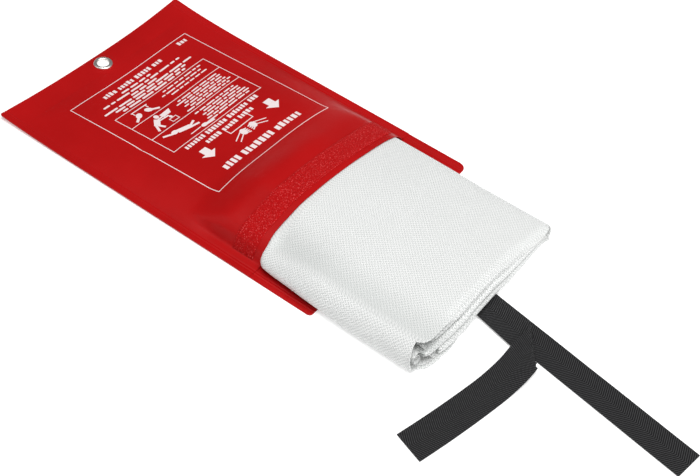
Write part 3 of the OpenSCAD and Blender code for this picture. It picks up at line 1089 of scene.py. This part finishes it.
def build_upper_tape(root, fold, fold_axis):
    """The upper tape: its sewn end, the run with the fold in it, and the tail that lies to the side."""
    way = (fold - root) * [1, 1, 0]
    to_fold = np.linalg.norm(way)
    way /= to_fold
    steps = spread(-SEWN_LENGTH, OVERLAP, 2.5)
    tucked = TUCK_H * smooth_step((steps + 6) / 4.0)
    centre = [np.append(root[:2], UPPER_Z - down) + way * s for s, down in zip(steps, tucked)]
    sewn_end, sewn_length = strip_along("upper_tape_sewn", centre, across_of(way), "blanket")
    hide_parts("upper_tape_sewn_end")

    roll_r = fold[2] - UPPER_Z
    lift_z = UPPER_Z + 2 * roll_r
    across_fold = np.cross([0, 0, 1], fold_axis)
    half = TAPE_W / 2
    sine = abs(np.dot(across_fold, way))
    seam = to_fold + (half * math.sqrt(max(0, 1 - sine**2)) + math.pi * roll_r) / sine + 6
    flat_s = spread(0, to_fold + TAIL_LENGTH, 1.6)
    across = np.linspace(-half, half, 9)
    grid = folded_run(root, fold, way, across_fold, roll_r, flat_s, across)
    settle(grid, fold, lift_z)
    cut = int(np.searchsorted(flat_s, seam))
    first = tape_from_grid("upper_tape_fold", grid[:cut + 1], flat_s[:cut + 1], across, None)
    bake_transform(first)
    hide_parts("upper_pull_tape_root")
    last = tape_from_grid("upper_tape_tail", grid[cut:], flat_s[cut:], across, "upper_tape_end")
    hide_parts("upper_pull_tape_end")


def folded_run(root, fold, way, across_fold, roll_r, flat_s, across):
    """The free run's middle surface: its first row on the hinge line, and its end carried round the fold."""
    side = across_of(way)
    hinge_way = heading(HINGE_TURN)
    arc = math.pi * roll_r

    def rolled(point):
        """Carries a point of the unfolded flat tape round the fold."""
        past = -np.dot((point - fold)[:2], across_fold[:2])
        if past <= 0:
            return point
        on_line = point + across_fold * past
        if past < arc:
            a = past / roll_r
            return on_line - across_fold * roll_r * math.sin(a) + [0, 0, roll_r * (1 - math.cos(a))]
        return on_line + across_fold * (past - arc) + [0, 0, 2 * roll_r]

    grid = np.zeros((len(flat_s), len(across), 3))
    for i, s in enumerate(flat_s):
        for j, t in enumerate(across):
            on_hinge = -t * np.dot(side, hinge_way) / np.dot(way, hinge_way)
            grid[i, j] = rolled(np.append(root[:2], 0) + way * (s + on_hinge * max(0, 1 - s / 8)) + side * t)
    grid[..., 2] += UPPER_Z
    return grid


def side_bend(gone):
    """The slope of the folded-over run in its own plane, against how far it has gone from the fold."""
    turned = smooth_step((gone - 10) / 25.0)
    near_fold = -0.11 * smooth_step(gone / 8.0) * (1 - turned)
    return 0.065 * turned + near_fold + 0.0011 * np.clip(gone - 8, 0, None)


def settle(grid, fold, lift_z):
    """Lets the folded-over run come down on to the surface and bend a little in its own plane."""
    stations = np.linspace(0, 150, 301)
    asides = np.cumsum(side_bend(stations)) * (stations[1] - stations[0])
    for row in grid:
        middle = row.mean(axis=0)
        gone = max(fold[0] - 6 - middle[0], 0.0)
        turn = math.atan(side_bend(gone)) + 0.0004 * gone
        aside = np.interp(gone, stations, asides)
        share = smooth_step((row[:, 2] - UPPER_Z) / (lift_z - UPPER_Z))
        over = row[:, 2] > lift_z - 0.2
        drop = smooth_step((fold[0] - 24 - row[:, 0]) / 30.0)
        row[over, 2] = (lift_z + (LOWER_Z - lift_z) * drop)[over]
        off_x, off_y = row[:, 0] - middle[0], row[:, 1] - middle[1]
        row[:, 0] += share * ((math.cos(turn) - 1) * off_x + math.sin(turn) * off_y)
        row[:, 1] += share * ((math.cos(turn) - 1) * off_y - math.sin(turn) * off_x + aside)


def build_tapes():
    root = np.array(JOINTS["lower_tape_lift"]["pos_m"]) / MM
    fold_joint = JOINTS["upper_tape_unfold"]
    build_lower_tape(root)
    build_upper_tape(root, np.array(fold_joint["pos_m"]) / MM, np.array(fold_joint["axis"]))


# ---- camera, light and floor

CAMERA_PLACE = (-0.5755, -0.6124, 0.6800)
CAMERA_TURN, CAMERA_DOWN, CAMERA_ROLL = (math.radians(a) for a in (-58.72, 46.43, 7.31))
LENS_MM = 64.18
LIGHT_TARGET = (0, -0.22, 0)


def build_camera():
    """The photograph's viewpoint: a 64 mm lens, looking down at 46 degrees, rolled by 7 degrees."""
    data = bpy.data.cameras.new("camera")
    data.lens = LENS_MM
    data.sensor_width = 36.0
    data.sensor_fit = "HORIZONTAL"
    camera = new_object("camera", data)
    camera.matrix_world = (Matrix.Translation(CAMERA_PLACE) @ Matrix.Rotation(CAMERA_TURN, 4, "Z")
                           @ Matrix.Rotation(math.pi / 2 - CAMERA_DOWN, 4, "X")
                           @ Matrix.Rotation(CAMERA_ROLL, 4, "Z"))
    bpy.context.scene.camera = camera


def area_light(name, place, size, power):
    """A soft rectangular light at a place in metres that faces the middle of the object."""
    data = bpy.data.lights.new(name, "AREA")
    data.shape = "RECTANGLE"
    data.size, data.size_y = size
    data.energy = power
    light = new_object(name, data)
    light.location = place
    light.rotation_euler = (Vector(LIGHT_TARGET) - Vector(place)).to_track_quat("-Z", "Y").to_euler()


def build_stage():
    """A pale floor, a dim white surround and three soft lights."""
    bpy.ops.mesh.primitive_plane_add(size=6.0, location=(0, -0.25, 0))
    floor = bpy.context.object
    floor.name = "floor"
    n = Nodes("pale_floor")
    n.set(Base_Color=(0.85, 0.85, 0.85, 1), Roughness=0.9, Emission_Color=(1, 1, 1, 1),
          Emission_Strength=0.34, Specular_IOR_Level=0.0)
    floor.data.materials.append(n.material)
    world = bpy.data.worlds.new("studio")
    bpy.context.scene.world = world
    world.use_nodes = True
    surround = world.node_tree.nodes["Background"].inputs
    surround["Color"].default_value = (1.0, 1.0, 1.0, 1)
    surround["Strength"].default_value = 0.14
    area_light("overhead", (-0.15, -0.45, 1.7), (1.3, 1.3), 29.5)
    area_light("behind", (-1.2, 0.9, 1.1), (1.2, 1.2), 5)
    area_light("front", (0.3, -1.7, 0.7), (1.6, 1.0), 10)
    bpy.context.scene.view_settings.view_transform = "Standard"


build_camera()
build_stage()
build_pouch()
build_strips()
build_print()
build_eyelet()
build_blanket()
build_tapes()

stitches = frame["nodes"]["tape_stitching"]
stitches.data.materials.clear()
stitches.data.materials.append(THREAD)
